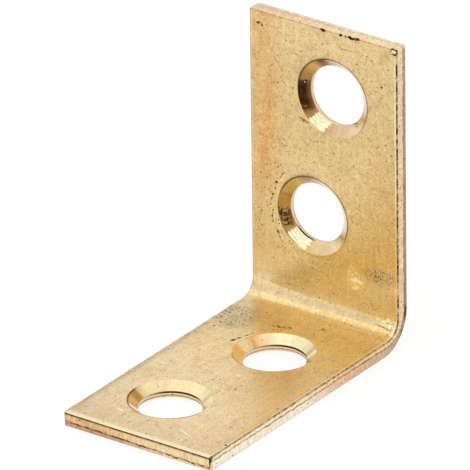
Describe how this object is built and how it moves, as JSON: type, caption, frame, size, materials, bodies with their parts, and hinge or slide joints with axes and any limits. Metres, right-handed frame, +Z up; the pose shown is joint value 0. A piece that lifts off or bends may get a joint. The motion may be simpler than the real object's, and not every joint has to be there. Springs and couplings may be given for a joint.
{
  "type": "angle bracket",
  "caption": "Small brass angle bracket: one strip folded once to a right angle, with staggered countersunk screw holes in both legs.",
  "frame": {"origin": "where the two outer faces would meet at the fold, in the middle of the strip's width", "axes": "+Z up along the upright, -Y out along the foot, X across the strip's width; the wall face looks along +Y and the base face along -Z"},
  "size_m": [0.0136, 0.0258, 0.0252],
  "materials": {
    "brass": "bright rolled brass strip, lightly tarnished and speckled, with sheared edges"
  },
  "bodies": {
    "root": {"angle_bracket": "brass"}
  },
  "joints": []
}
